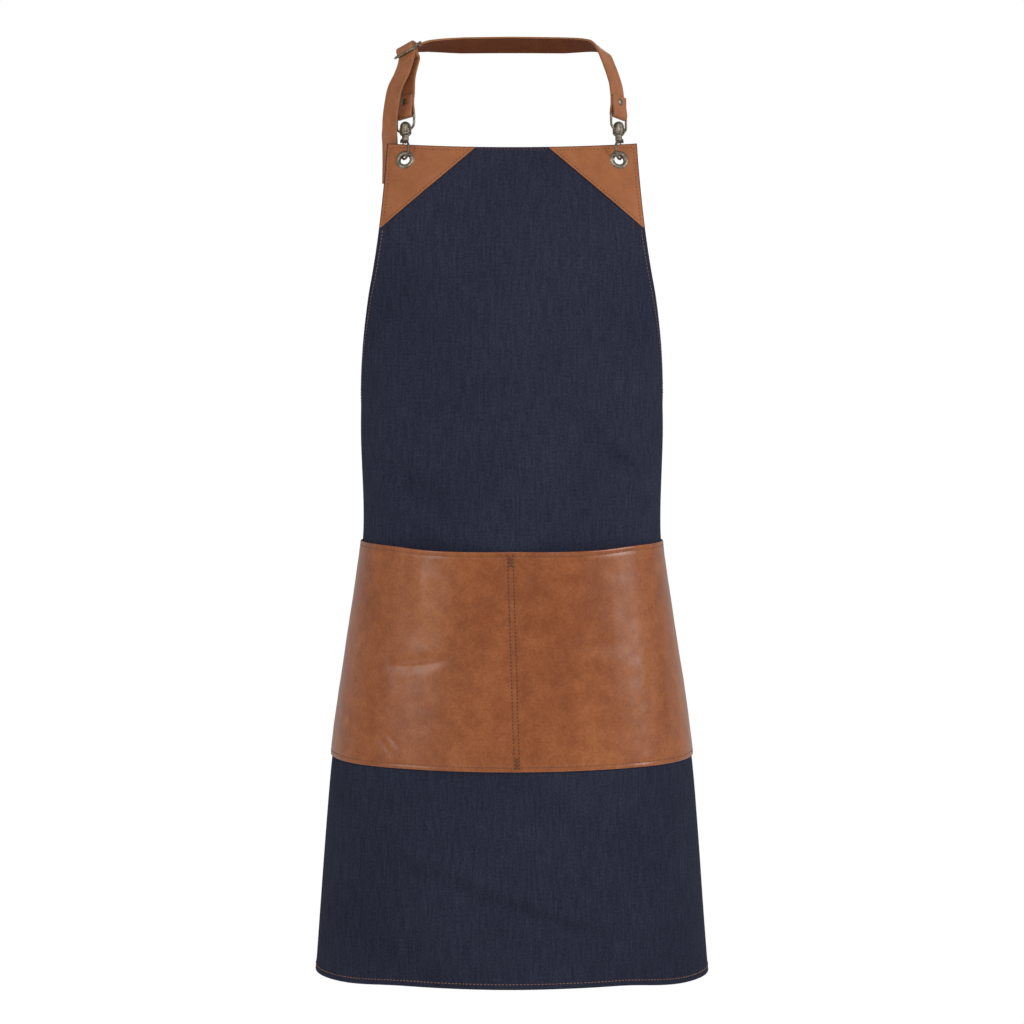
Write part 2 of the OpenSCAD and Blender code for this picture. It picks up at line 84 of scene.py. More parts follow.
def sag(s, t):
    """Unevenness of the hang: raised sides at the pockets' mouths, and a hem that drops towards the sides."""
    u = np.abs(s)
    sides_up = 2.6 * np.exp(-((u - 165) / 60.0) ** 4)
    middle_down = 1.2 * np.exp(-(u / 90.0) ** 2)
    mouth = np.exp(-((t - 402) / 85.0) ** 2) * (sides_up - middle_down)
    foot = np.clip((t - 640) / 220.0, 0, 1) ** 2 * np.exp(-((u - 215) / 75.0) ** 4)
    return mouth - foot * np.where(s > 0, 5.0, 3.4)


def cloth(s, t, off=0.0):
    """The place of cloth coordinates: s across from the middle, t down from the bib's top, off outwards."""
    s, t = np.broadcast_arrays(np.asarray(s, float), np.asarray(t, float))
    f, r1, r2 = turn(s, t)
    front = f < FRONT_TURN
    x = np.where(front, r1 * np.sin(f), r1 * FRONT_S + r2 * (np.sin(f) - FRONT_S))
    y = np.where(front, r1 * (1 - np.cos(f)), r1 * (1 - FRONT_C) + r2 * (FRONT_C - np.cos(f)))
    fade = (1 - np.minimum(t, LIFT_END) / LIFT_END) ** 2
    lift = np.where(t < LIFT_END, CORNER_LIFT * (2 * np.abs(s) / BIB_W) ** 2 * fade, 0)
    p = np.stack([np.sign(s) * x, level(t, 3) + y, lift + sag(s, t) - BIB_DROP - t], -1)
    return p + np.asarray(off, float)[..., None] * outward(s, t)


def half_w(t):
    """Half the flat cloth's width: the bib widens along its armholes down to the waist."""
    u = np.minimum(t, WAIST_T)
    rest = (FULL_W - BIB_W) / 2 - FLARE * WAIST_T
    return BIB_W / 2 + FLARE * u + rest * (u / WAIST_T) ** ARM_POWER


def gape(s, t):
    """How far the two pocket mouths stand open."""
    v = np.clip((t - POCKET_TOP) / POCKET_H, 0, 1)
    u = np.abs(s) / GAPE_AT
    return POCKET_GAPE * (u * np.exp(1 - u)) ** 3 * (1 - v) ** 2


EYELET_EDGE, EYELET_SIDE = 15.5, 20.5
BIB_EYELET = (BIB_W / 2 + FLARE * EYELET_EDGE - EYELET_SIDE, EYELET_EDGE + 0.4)
WAIST_EYELET = (FULL_W / 2 - EYELET_EDGE, WAIST_T + 18)
EYELETS = [(k * s, t) for s, t in (BIB_EYELET, WAIST_EYELET) for k in (1, -1)]
FACET, FLAT_R, FOLDS_CLEAR, HEM_CLEAR = 10.0, 13.0, 34.0, 26.0


def unit(v):
    """The vector at a length of one."""
    v = np.asarray(v, float)
    return v / np.linalg.norm(v)


def eyelet_plane(es, et):
    """Centre and outward normal of the flat spot that an eyelet clamps."""
    c = sum(cloth(es + i * FACET, et + j * FACET) for i in (-1, 1) for j in (-1, 1)) / 4
    down = cloth(es, et + FACET) - cloth(es, et - FACET)
    over = cloth(es + FACET, et) - cloth(es - FACET, et)
    return c, unit(np.cross(down, over))


PLANES = [eyelet_plane(*e) for e in EYELETS]


def laid(s, t, off, rise=0.0):
    """The cloth at a height off its smooth shape, flattened where an eyelet clamps it."""
    p = cloth(s, t, off)
    base = cloth(s, t)
    for (es, et), (c, n) in zip(EYELETS, PLANES):
        near = np.exp(-(np.hypot(s - es, t - et) / FLAT_R) ** 4)
        flat = base - ((base - c) @ n)[..., None] * n + (np.asarray(off, float) + rise)[..., None] * n
        p = p * (1 - near[..., None]) + flat * near[..., None]
    return p


# ---------------------------------------------------------------- creases and unevenness
def smooth_noise(x, y, cell_x, cell_y, seed):
    """Value noise from -1 to 1 on a seeded lattice."""
    grid = np.random.default_rng(seed).uniform(-1, 1, (64, 64))
    gx, gy = x / cell_x + 17.3, y / cell_y + 9.7
    i, j = np.floor(gx).astype(int), np.floor(gy).astype(int)
    fx, fy = gx - i, gy - j
    fx, fy = fx ** 3 * (fx * (6 * fx - 15) + 10), fy ** 3 * (fy * (6 * fy - 15) + 10)
    i, j = i % 64, j % 64
    i1, j1 = (i + 1) % 64, (j + 1) % 64
    return ((grid[i, j] * (1 - fx) + grid[i1, j] * fx) * (1 - fy)
            + (grid[i, j1] * (1 - fx) + grid[i1, j1] * fx) * fy)


def ridge(s, t, a, b, width, height, bow=0.0):
    """A raised (or sunk) line from a to b in cloth millimetres, bowed sideways, fading at both ends."""
    dx, dy = b[0] - a[0], b[1] - a[1]
    long = math.hypot(dx, dy)
    u = ((s - a[0]) * dx + (t - a[1]) * dy) / long ** 2
    away = ((s - a[0]) * dy - (t - a[1]) * dx) / long - bow * 4 * u * (1 - u)
    end = np.clip(np.minimum(u, 1 - u) * 2.0 + 0.25, 0, 1)
    end = end * end * (3 - 2 * end)
    return height * end * np.exp(-(away / width) ** 2)


def clear_of_eyelets(s, t, reach):
    """0 at an eyelet, rising to 1 beyond its reach."""
    out = np.ones_like(s + t)
    for es, et in EYELETS:
        out = out * (1 - np.exp(-(((s - es) ** 2 + (t - et) ** 2) / reach ** 2) ** 2))
    return out


# Each mark is a ridge's two ends, width, height and bow.
WAIST_PULLS = [
    ((70, 256), (150, 350), 10, 4.2, 5), ((86, 300), (168, 346), 8, -4.6, -4),
    ((92, 330), (176, 366), 9, 3.6, 3), ((120, 262), (160, 318), 7, -2.6, 3),
    ((-168, 316), (-66, 372), 9, -5.0, 5), ((-175, 350), (-72, 398), 8, 4.8, 4),
    ((-150, 290), (-92, 336), 11, 2.4, 4), ((-150, 372), (-84, 392), 6, -2.0, 3)]
SKIRT_FOLDS = [
    ((-165, 688), (150, 812), 9, 3.4, -9), ((-165, 702), (150, 826), 7, -3.2, -9),
    ((60, 668), (215, 742), 16, 2.4, 8), ((-60, 690), (190, 676), 13, -2.0, 5)]
PANEL_DENTS = [
    ((-134, 531), (-64, 519), 4.5, -1.5, -3), ((-128, 514), (-70, 508), 12, 0.5, -3),
    ((40, 516), (104, 504), 7, -1.1, 4), ((38, 530), (116, 522), 12, 0.8, 3)]
PANEL_CREASES = [
    ((33, 501), (38, 512), 1.6, -0.7), ((22, 572), (46, 570), 2.2, -0.7, 1),
    ((-150, 598), (-126, 624), 2.4, -0.8, 2), ((-140, 596), (-118, 616), 2.2, -0.5, 2),
    ((-92, 420), (-88, 492), 11, 0.8), ((-16, 416), (-14, 600), 6, 0.7),
    ((52, 470), (104, 464), 6, -0.25, 3), ((60, 586), (120, 596), 7, -0.2, 3)]


def body_folds(s, t):
    """How far the cloth stands out from its smooth shape, for denim and what is sewn on it."""
    d = 0.55 * smooth_noise(s, t, 90, 150, 3) + 0.25 * smooth_noise(s, t, 34, 70, 4)
    for mark in WAIST_PULLS + SKIRT_FOLDS + PANEL_DENTS:
        d = d + ridge(s, t, *mark)
    below_top = np.clip(t / 40, 0, 1)
    return d * clear_of_eyelets(s, t, FOLDS_CLEAR) * (0.25 + 0.75 * below_top)


def leather_marks(s, t):
    """Finer unevenness of the pocket panel alone."""
    d = 0.30 * smooth_noise(s, t, 22, 60, 11) + 0.12 * smooth_noise(s, t, 9, 12, 12)
    for mark in PANEL_CREASES:
        d = d + ridge(s, t, *mark)
    return d


def seam_dip(d, width=1.7, depth=0.45):
    """The groove that a seam pulls, at a distance d from it."""
    return -depth * np.exp(-(d / width) ** 2)


# ---------------------------------------------------------------- mesh helpers
def mesh_object(name, verts, faces, materials):
    """A smooth mesh object from points in millimetres."""
    mesh = bpy.data.meshes.new(name)
    mesh.from_pydata((np.asarray(verts) * MM).tolist(), [], faces)
    for m in materials:
        mesh.materials.append(m)
    mesh.polygons.foreach_set("use_smooth", np.ones(len(mesh.polygons), bool))
    obj = bpy.data.objects.new(name, mesh)
    bpy.context.scene.collection.objects.link(obj)
    return obj


def make(name, verts, quads, materials, coords=None):
    """A mesh object that carries its cloth coordinates for the weave, in metres."""
    obj = mesh_object(name, verts, np.asarray(quads).tolist(), materials)
    if coords is not None:
        layer = obj.data.attributes.new("weave", "FLOAT_VECTOR", "POINT")
        full = np.zeros((len(verts), 3))
        full[:, :2] = np.asarray(coords) * MM
        layer.data.foreach_set("vector", full.ravel())
    obj.data.validate()
    return obj


def grid_quads(rows, cols):
    """The quads of a grid whose points are numbered row by row."""
    i, j = np.meshgrid(np.arange(rows - 1), np.arange(cols - 1), indexing="ij")
    a = (i * cols + j).ravel()
    return np.stack([a, a + cols, a + cols + 1, a + 1], 1)


def spacing(marks, coarse):
    """Values from the first mark to the last.

    Marks are (place, step there), and the steps grow to coarse between them."""
    lo, hi = marks[0][0], marks[-1][0]
    out, x = [lo], lo
    while x < hi - 1e-6:
        step = min([coarse] + [fine + abs(x - place) * 0.22 for place, fine in marks])
        x = min(hi, x + step)
        out.append(x)
    if out[-1] - out[-2] < 0.3:
        out.pop(-2)
    return np.array(out)


HOLE_R, CUT_R = 7.2, 6.9


def holed(S, T):
    """A grid of cloth coordinates, its quads cut away round the eyelets and their rim drawn to the holes."""
    rows, cols = S.shape
    q = grid_quads(rows, cols)
    s, t = S.ravel().copy(), T.ravel().copy()
    keep = np.ones(len(q), bool)
    for es, et in EYELETS:
        keep &= np.hypot(s[q].mean(1) - es, t[q].mean(1) - et) > CUT_R
    q = q[keep]
    for es, et in EYELETS:
        r = np.hypot(s - es, t - et)
        near = (r < HOLE_R) & (r > 1e-6)
        s[near] = es + (s[near] - es) * HOLE_R / r[near]
        t[near] = et + (t[near] - et) * HOLE_R / r[near]
    used = np.unique(q)
    back = np.full(len(s), -1)
    back[used] = np.arange(len(used))
    return s[used], t[used], back[q]


def thicken(obj, thickness):
    """Gives a sheet its thickness inwards: its second material is the inner face, and its third the edge."""
    m = obj.modifiers.new("thickness", "SOLIDIFY")
    m.thickness, m.offset = thickness * MM, -1
    m.material_offset, m.material_offset_rim = 1, 2
    m.use_even_offset = False
    return obj


# ---------------------------------------------------------------- materials
def material(name):
    """An empty principled material, with its nodes, links and shader."""
    m = bpy.data.materials.new(name)
    m.use_nodes = True
    nodes, links = m.node_tree.nodes, m.node_tree.links
    nodes.clear()
    out = nodes.new("ShaderNodeOutputMaterial")
    bsdf = nodes.new("ShaderNodeBsdfPrincipled")
    links.new(bsdf.outputs[0], out.inputs[0])
    return m, nodes, links, bsdf


class Net:
    """Short words for building a node net. A value is a number or another node's output."""

    def __init__(self, nodes, links):
        self.n, self.l = nodes, links

    def put(self, kind, **sets):
        node = self.n.new(kind)
        for k, v in sets.items():
            setattr(node, k, v)
        return node

    def wire(self, value, socket):
        if hasattr(value, "is_output"):
            self.l.new(value, socket)
        else:
            socket.default_value = value

    def mapped(self, source, scale, turn=0.0):
        node = self.put("ShaderNodeMapping")
        self.l.new(source, node.inputs["Vector"])
        node.inputs["Scale"].default_value = scale
        node.inputs["Rotation"].default_value = (0, 0, turn)
        return node.outputs[0]

    def noise(self, vector, scale, detail, rough=0.5):
        node = self.put("ShaderNodeTexNoise")
        self.l.new(vector, node.inputs["Vector"])
        node.inputs["Scale"].default_value = scale
        node.inputs["Detail"].default_value = detail
        node.inputs["Roughness"].default_value = rough
        return node.outputs[0]

    def voronoi(self, vector, scale):
        node = self.put("ShaderNodeTexVoronoi")
        self.l.new(vector, node.inputs["Vector"])
        node.inputs["Scale"].default_value = scale
        return node.outputs["Distance"]

    def span(self, value, a, b, c, d):
        """The value's range a to b carried to c to d, and held there."""
        node = self.put("ShaderNodeMapRange")
        self.wire(value, node.inputs[0])
        for k, v in zip((1, 2, 3, 4), (a, b, c, d)):
            node.inputs[k].default_value = v
        return node.outputs[0]

    def math(self, op, a, b):
        node = self.put("ShaderNodeMath", operation=op)
        for v, s in zip((a, b), node.inputs):
            self.wire(v, s)
        return node.outputs[0]

    def mix(self, factor, a, b, blend="MIX"):
        node = self.put("ShaderNodeMix", data_type="RGBA", blend_type=blend)
        self.wire(factor, node.inputs[0])
        for v, s in ((a, node.inputs[6]), (b, node.inputs[7])):
            if hasattr(v, "is_output"):
                self.l.new(v, s)
            else:
                s.default_value = (*v, 1) if len(v) == 3 else v
        return node.outputs[2]

    def bump(self, height, strength, distance, normal=None):
        node = self.put("ShaderNodeBump")
        self.l.new(height, node.inputs["Height"])
        node.inputs["Strength"].default_value = strength
        node.inputs["Distance"].default_value = distance
        if normal is not None:
            self.l.new(normal, node.inputs["Normal"])
        return node.outputs[0]


def denim(name, dark, light, fleck, fleck_share):
    """Twill: dark warp over a lighter weft, with slubs running down the cloth and across it.

    It is painted darker towards the hem: painted shade on the skirt below the pocket."""
    m, nodes, links, bsdf = material(name)
    k = Net(nodes, links)
    attr = k.put("ShaderNodeAttribute", attribute_name="weave")
    co = attr.outputs["Vector"]
    slub = k.noise(k.mapped(co, (1, 0.09, 1)), 440, 3, 0.6)
    slub_wide = k.noise(k.mapped(co, (1, 0.05, 1)), 150, 2, 0.5)
    across = k.noise(k.mapped(co, (0.08, 1, 1)), 620, 2, 0.55)
    cloud = k.noise(co, 9, 3, 0.55)
    speck = k.noise(co, 430, 3, 0.62)
    twill = k.put("ShaderNodeTexWave", wave_type="BANDS", bands_direction="X")
    links.new(k.mapped(co, (1, 1, 1), math.radians(38)), twill.inputs["Vector"])
    twill.inputs["Scale"].default_value = 290
    twill.inputs["Distortion"].default_value = 1.2
    twill.inputs["Detail"].default_value = 1
    twill.inputs["Detail Scale"].default_value = 3
    yarn = k.span(twill.outputs["Fac"], 0, 1, 0.10, 0.42)
    for part, low, high in ((slub, -0.17, 0.21), (across, -0.05, 0.06), (slub_wide, -0.03, 0.03)):
        yarn = k.math("ADD", yarn, k.span(part, 0.30, 0.70, low, high))
    yarn = k.math("ADD", yarn, k.span(speck, 0.34, 0.66, -0.18, 0.20))
    yarn = k.math("MINIMUM", k.math("MAXIMUM", yarn, 0.0), 1.0)
    colour = k.mix(yarn, dark, light)
    knots = k.noise(k.mapped(co, (1, 0.55, 1)), 900, 1, 0.5)
    flecks = k.span(knots, 0.74 - 0.08 * fleck_share, 0.84, 0, 0.7)
    colour = k.mix(flecks, colour, fleck)
    worn = k.mix(k.span(cloud, 0.32, 0.68, 0.0, 1.0), (0.90, 0.90, 0.91), (1.10, 1.09, 1.08))
    colour = k.mix(1.0, colour, worn, "MULTIPLY")
    # Painted shade: the weave's down coordinate darkens the colour by up to 13 percent from 0.50 m to 0.84 m
    # below the bib's top.
    down = k.put("ShaderNodeSeparateXYZ")
    links.new(co, down.inputs[0])
    painted_shade_low = k.mix(k.span(down.outputs[1], 0.50, 0.84, 0.0, 1.0), (1.0, 1.0, 1.0), (0.87, 0.88, 0.87))
    colour = k.mix(1.0, colour, painted_shade_low, "MULTIPLY")
    links.new(colour, bsdf.inputs["Base Color"])
    links.new(k.span(speck, 0.3, 0.7, 0.87, 0.98), bsdf.inputs["Roughness"])
    bsdf.inputs["Specular IOR Level"].default_value = 0.08
    height = k.math("ADD", twill.outputs["Fac"], k.math("MULTIPLY", slub, 1.1))
    links.new(k.bump(height, 0.42, 0.0004, k.bump(cloud, 0.18, 0.004)), bsdf.inputs["Normal"])
    return m


def leather(name, dark, mid, light, gloss, grain, coat=0.0, panel=False):
    """Smooth oiled leather: mottled colour, fine pores, soft creases, and a low waxy gloss.

    The pocket panel is stained more, in upright clouds."""
    m, nodes, links, bsdf = material(name)
    k = Net(nodes, links)
    co = k.put("ShaderNodeTexCoord").outputs["Object"]
    stretched = k.mapped(co, (1, 1, 0.35)) if panel else co
    cloud = k.noise(stretched, 11 if panel else 13, 4, 0.6)
    blotch = k.noise(co, 60, 5, 0.66)
    fibre = k.noise(co, 420, 3, 0.6)
    pores = k.voronoi(co, 1250)
    wrinkle = k.noise(k.mapped(co, (1.4, 1, 0.5)), 190, 5, 0.62)
    cloud_low, cloud_high = (-0.02, 0.74) if panel else (0.12, 0.62)
    more = 0.10 if panel else 0.0
    tone = k.math("ADD", k.span(cloud, 0.32, 0.68, cloud_low, cloud_high),
                  k.span(blotch, 0.30, 0.70, -0.08 - more, 0.40 + more))
    tone = k.math("ADD", tone, k.span(fibre, 0.32, 0.68, -0.08 - 1.5 * more, 0.10 + 1.5 * more))
    colour = k.mix(k.span(tone, 0.0, 0.5, 0, 1), dark, mid)
    colour = k.mix(k.span(tone, 0.5, 1.05, 0, 1), colour, light)
    colour = k.mix(k.span(pores, 0.0, 0.30, 0.28, 0.0), colour, dark)
    links.new(colour, bsdf.inputs["Base Color"])
    rough = k.math("ADD", k.span(blotch, 0.3, 0.7, *gloss), k.span(fibre, 0.3, 0.7, -0.02, 0.03))
    links.new(rough, bsdf.inputs["Roughness"])
    bsdf.inputs["Specular IOR Level"].default_value = 0.25
    bsdf.inputs["Coat Weight"].default_value = coat
    bsdf.inputs["Coat Roughness"].default_value = 0.25
    fine = k.bump(k.math("ADD", k.math("MULTIPLY", pores, 0.7), fibre), grain, 0.0005)
    links.new(k.bump(wrinkle, grain * 0.9, 0.0012, fine), bsdf.inputs["Normal"])
    return m


def raw_leather(name, dark, light):
    """The cut edge, the flesh side and the strap's darkened inner face (painted shade): short matt fibres."""
    m, nodes, links, bsdf = material(name)
    k = Net(nodes, links)
    co = k.put("ShaderNodeTexCoord").outputs["Object"]
    fuzz = k.noise(co, 900, 4, 0.7)
    cloud = k.noise(co, 60, 3, 0.6)
    tone = k.math("ADD", k.span(fuzz, 0.3, 0.7, 0, 0.6), k.span(cloud, 0.3, 0.7, 0, 0.4))
    links.new(k.mix(tone, dark, light), bsdf.inputs["Base Color"])
    links.new(k.span(fuzz, 0.3, 0.7, 0.75, 0.95), bsdf.inputs["Roughness"])
    bsdf.inputs["Specular IOR Level"].default_value = 0.25
    links.new(k.bump(fuzz, 0.5, 0.0005), bsdf.inputs["Normal"])
    return m


def thread(name, dark, light):
    """Twisted sewing thread."""
    m, nodes, links, bsdf = material(name)
    k = Net(nodes, links)
    co = k.put("ShaderNodeTexCoord").outputs["Object"]
    ply = k.put("ShaderNodeTexWave", wave_type="BANDS", bands_direction="DIAGONAL")
    links.new(co, ply.inputs["Vector"])
    ply.inputs["Scale"].default_value = 900
    tone = k.math("ADD", k.span(ply.outputs["Fac"], 0, 1, 0, 0.5),
                  k.span(k.noise(co, 130, 2), 0.3, 0.7, 0, 0.5))
    links.new(k.mix(tone, dark, light), bsdf.inputs["Base Color"])
    links.new(k.span(tone, 0, 1, 0.6, 0.8), bsdf.inputs["Roughness"])
    links.new(k.bump(ply.outputs["Fac"], 0.5, 0.0002), bsdf.inputs["Normal"])
    return m


def old_metal(name, dark, light, rough=(0.30, 0.52)):
    """Antiqued plating: rubbed high spots and dull darker patches."""
    m, nodes, links, bsdf = material(name)
    k = Net(nodes, links)
    co = k.put("ShaderNodeTexCoord").outputs["Object"]
    patch = k.noise(co, 240, 4, 0.65)
    fine = k.noise(co, 1600, 3, 0.6)
    scratch = k.noise(k.mapped(co, (1, 1, 0.12)), 1500, 2, 0.5)
    tone = k.math("ADD", k.span(patch, 0.34, 0.66, 0, 0.75), k.span(fine, 0.3, 0.7, 0, 0.25))
    links.new(k.mix(tone, dark, light), bsdf.inputs["Base Color"])
    bsdf.inputs["Metallic"].default_value = 1.0
    dull, shiny = rough[1], rough[0]
    sheen = k.math("ADD", k.span(patch, 0.3, 0.7, dull, shiny), k.span(scratch, 0.3, 0.7, -0.04, 0.05))
    links.new(sheen, bsdf.inputs["Roughness"])
    links.new(k.bump(k.math("ADD", fine, scratch), 0.18, 0.0002), bsdf.inputs["Normal"])
    return m


DENIM = denim("denim_front", (0.0143, 0.0161, 0.0300), (0.0440, 0.0482, 0.0825), (0.090, 0.094, 0.125), 0.3)
DENIM_BACK = denim("denim_reverse", (0.060, 0.068, 0.095), (0.185, 0.195, 0.235), (0.40, 0.41, 0.44), 1.6)
DENIM_EDGE = denim("denim_fold", (0.010, 0.012, 0.024), (0.026, 0.030, 0.056), (0.08, 0.08, 0.11), 0.8)
PANEL = leather("panel_leather", (0.212, 0.051, 0.0085), (0.274, 0.075, 0.0160), (0.350, 0.111, 0.030),
                gloss=(0.34, 0.44), grain=0.13, coat=0.68, panel=True)
PATCH = leather("patch_leather", (0.240, 0.076, 0.023), (0.310, 0.104, 0.034), (0.375, 0.136, 0.052),
                gloss=(0.46, 0.62), grain=0.30)
STRAP = leather("strap_leather", (0.240, 0.080, 0.029), (0.330, 0.118, 0.046), (0.410, 0.165, 0.075),
                gloss=(0.34, 0.48), grain=0.20, coat=0.15)
# Painted shade: the strap's inner face along the neck's back gets this darker colour where it faces down and
# away from the light.
STRAP_INNER_SHADE = raw_leather("strap_inner_painted_shade", (0.090, 0.0190, 0.0040), (0.150, 0.040, 0.0120))
CUT = raw_leather("leather_cut_edge", (0.230, 0.090, 0.036), (0.370, 0.165, 0.073))
PANEL_CUT = raw_leather("panel_cut_edge", (0.200, 0.070, 0.032), (0.360, 0.160, 0.085))
PANEL_BACK = raw_leather("panel_flesh_side", (0.160, 0.070, 0.036), (0.290, 0.150, 0.085))
THREAD_TAN = thread("thread_tan", (0.170, 0.070, 0.040), (0.330, 0.165, 0.105))
THREAD_DARK = thread("thread_brown", (0.045, 0.016, 0.008), (0.105, 0.038, 0.018))
THREAD_PATCH = thread("thread_light_brown", (0.120, 0.042, 0.018), (0.210, 0.080, 0.034))
METAL = old_metal("antique_brass", (0.080, 0.064, 0.046), (0.340, 0.296, 0.228))
STEEL = old_metal("spring_steel", (0.200, 0.195, 0.190), (0.420, 0.410, 0.400), (0.24, 0.40))

# ---------------------------------------------------------------- denim
rows = spacing([(0, 1.0), (EYELET_EDGE, 2.0), (WAIST_EYELET[1], 2.2), (APRON_LEN - 6, 1.2), (APRON_LEN, 1.2)],
               4.0)
cols = spacing([(-1, 0.0022), (-0.95, 0.0075), (0.95, 0.0075), (1, 0.0022)], 0.0125)
cols[np.abs(cols).argmin()] = 0
T, C = np.meshgrid(rows, cols, indexing="ij")
S = half_w(T) * C


def hem_relief(s, t):
    """The folded hem lifts the edge, and its stitch line pulls the cloth in."""
    from_side, from_foot = half_w(t) - np.abs(s), APRON_LEN - t
    edge = np.minimum(from_side, from_foot)
    lift = 0.35 / (1 + np.exp((edge - 7.5) * 1.2)) * clear_of_eyelets(s, t, HEM_CLEAR)
    return lift + seam_dip(edge - 5.5, 1.3, 0.25)


def denim_off(s, t):
    """How far the denim's middle is off the smooth worn shape."""
    return body_folds(s, t) + hem_relief(s, t)


s, t, quads = holed(S, T)
denim_cloth = thicken(make("denim_cloth", laid(s, t, DENIM_T / 2 + denim_off(s, t)), quads,
                           [DENIM, DENIM_BACK, DENIM_EDGE], coords=np.stack([s, t], 1)), DENIM_T)

# The hems are turned to the back: one strip along each side, the foot and the bib's top.
HEM_W, BIB_HEM_W, HEM_T, RIM = 8.0, 5.2, 0.74, 0.3
hem_parts = []


def hem_strip(path_s, path_t, inner_s, inner_t):
    """A strip four points wide, from a path at the cloth's edge to one inside it."""
    a = np.stack([path_s, path_t], 1)
    b = np.stack([inner_s, inner_t], 1)
    u = np.linspace(0, 1, 4)
    hem_parts.append(a[:, None] * (1 - u[None, :, None]) + b[:, None] * u[None, :, None])


side_t = spacing([(0.4, 2.0), (APRON_LEN - 0.4, 3.0)], 5.0)
for side in (1, -1):
    wide = np.where(side_t < 45, BIB_HEM_W, HEM_W)
    hem_strip(side * (half_w(side_t) - RIM), side_t, side * (half_w(side_t) - wide), side_t)
foot_s = np.linspace(-(FULL_W / 2 - RIM), FULL_W / 2 - RIM, 160)
level_row = np.ones_like(foot_s)
hem_strip(foot_s, level_row * (APRON_LEN - RIM), foot_s, level_row * (APRON_LEN - 10.0))
top_s = np.linspace(-(BIB_W / 2 - RIM), BIB_W / 2 - RIM, 90)
level_row = np.ones_like(top_s)
hem_strip(top_s, level_row * RIM, top_s, level_row * BIB_HEM_W)
verts, faces, coords, base = [], [], [], 0
for g in hem_parts:
    gs, gt = g[..., 0], g[..., 1]
    depth = -DENIM_T / 2 - 0.04 + denim_off(gs, gt)
    verts.append(laid(gs, gt, depth).reshape(-1, 3))
    coords.append(g.reshape(-1, 2))
    faces.append(grid_quads(*gs.shape) + base)
    base += gs.size
hems_surface = make("denim_hems", np.concatenate(verts), np.concatenate(faces), [DENIM, DENIM, DENIM_EDGE],
                    coords=np.concatenate(coords))
denim_hems = thicken(hems_surface, HEM_T)


# ---------------------------------------------------------------- pocket panel
CENTRE_ROWS = (-3.2, 2.2)
POCKET_SEAM, POCKET_SIDE_SEAM = 4.6, 5.0


def centre_line(t):
    """The seam between the two pockets, which runs a little to the right on its way down."""
    return 1.6 + 7.0 * (t - POCKET_TOP) / POCKET_H - 3.0


def pocket_off(s, t):
    """How far the pocket panel's inner face is off the denim's middle."""
    top, foot, side = t - POCKET_TOP, POCKET_FOOT - t, FULL_W / 2 - np.abs(s)
    marks = leather_marks(s, t) * np.clip(np.minimum(top, foot) / 12, 0.15, 1)
    d = POCKET_BASE + gape(s, t) + denim_off(s, t) + marks
    d = d + seam_dip(top - POCKET_SEAM) + seam_dip(foot - POCKET_SEAM) + seam_dip(side - POCKET_SIDE_SEAM)
    for row in CENTRE_ROWS:
        d = d + seam_dip(s - centre_line(t) - row, 1.5, 0.5)
    edge = np.minimum(np.minimum(top, foot), side)
    return np.maximum(d - 0.5 * np.exp(-edge / 0.8), denim_off(s, t) + 0.56)


pt = spacing([(POCKET_TOP, 0.8), (POCKET_TOP + POCKET_SEAM, 0.9), (POCKET_FOOT - POCKET_SEAM, 0.9),
              (POCKET_FOOT, 0.8)], 2.6)
ps = spacing([(-FULL_W / 2, 1.0), (-FULL_W / 2 + POCKET_SIDE_SEAM, 1.0), (-4, 0.8), (4, 0.8),
              (FULL_W / 2 - POCKET_SIDE_SEAM, 1.0), (FULL_W / 2, 1.0)], 2.8)
T, S = np.meshgrid(pt, ps, indexing="ij")
pocket_leather = thicken(
    make("pocket_leather", cloth(S, T, pocket_off(S, T) + POCKET_T).reshape(-1, 3), grid_quads(*S.shape),
         [PANEL, PANEL_BACK, PANEL_CUT], coords=np.stack([S.ravel(), T.ravel()], 1)), POCKET_T)


# ---------------------------------------------------------------- corner patches
PATCH_SLANT = math.hypot(PATCH_W, PATCH_H)


def patch_width(t):
    """A corner patch's width at a height, from the whole width at the top to a point."""
    return PATCH_W * (1 - t / PATCH_H)


def patch_off(s, t):
    """How far a corner patch's inner face is off the denim's middle."""
    side, top = half_w(t) - 1 - np.abs(s), t - 0.5
    diagonal = (patch_width(t) - side) * PATCH_H / PATCH_SLANT
    d = PATCH_BASE + body_folds(s, t) + 0.10 * smooth_noise(s, t, 14, 14, 21) * np.clip(diagonal / 8, 0, 1)
    for seam in (side - 3.4, top - 3.0, diagonal - 2.6):
        d = d + seam_dip(seam, 1.2, 0.3)
    return d - 0.35 * np.exp(-np.minimum(np.minimum(side, top), diagonal) / 0.7)


patches = {}
for side, word in ((1, "right"), (-1, "left")):
    pt = spacing([(0.5, 0.9), (EYELET_EDGE, 1.7), (PATCH_H * 0.985, 1.4)], 2.4)
    pu = spacing([(0, 0.012), (0.83, 0.018), (1, 0.012)], 0.030)
    T, U = np.meshgrid(pt, pu, indexing="ij")
    S = half_w(T) - 1 - patch_width(T) * (1 - U)
    if side < 0:
        S = -S[:, ::-1]
    s, t, quads = holed(S, T)
    surface = laid(s, t, patch_off(s, t) + PATCH_T, 0.15)
    patches[word] = thicken(make(word + "_patch_leather", surface, quads, [PATCH, PANEL_BACK, PANEL_CUT],
                                 coords=np.stack([s, t], 1)), PATCH_T)

# ---------------------------------------------------------------- stitches
rng = np.random.default_rng(7)


